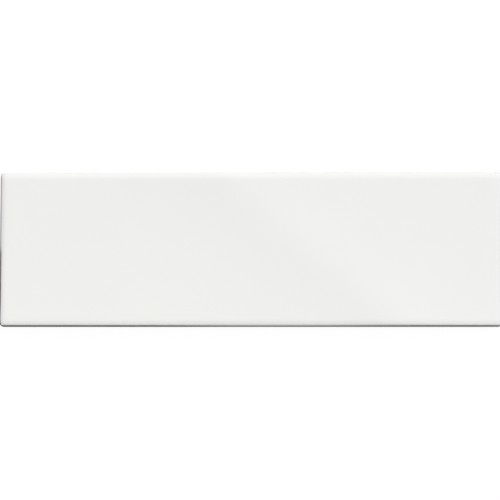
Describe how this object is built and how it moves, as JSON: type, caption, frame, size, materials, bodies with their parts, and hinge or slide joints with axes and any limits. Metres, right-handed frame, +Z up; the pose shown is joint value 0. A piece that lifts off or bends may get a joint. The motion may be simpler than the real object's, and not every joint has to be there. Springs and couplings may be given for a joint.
{
  "type": "textured tile",
  "caption": "Rectangular glazed ceramic wall tile with a softly undulating white face, rounded glazed edges and a back keyed for adhesive.",
  "frame": {"origin": "centre of the bedding plane under the back, midway along and across the tile", "axes": "+X along the length, +Y across the width, +Z up out of the glazed face"},
  "size_m": [0.2, 0.0618, 0.0082],
  "materials": {
    "glaze": "gloss"
  },
  "bodies": {
    "root": {"tile": "glaze"}
  },
  "joints": []
}
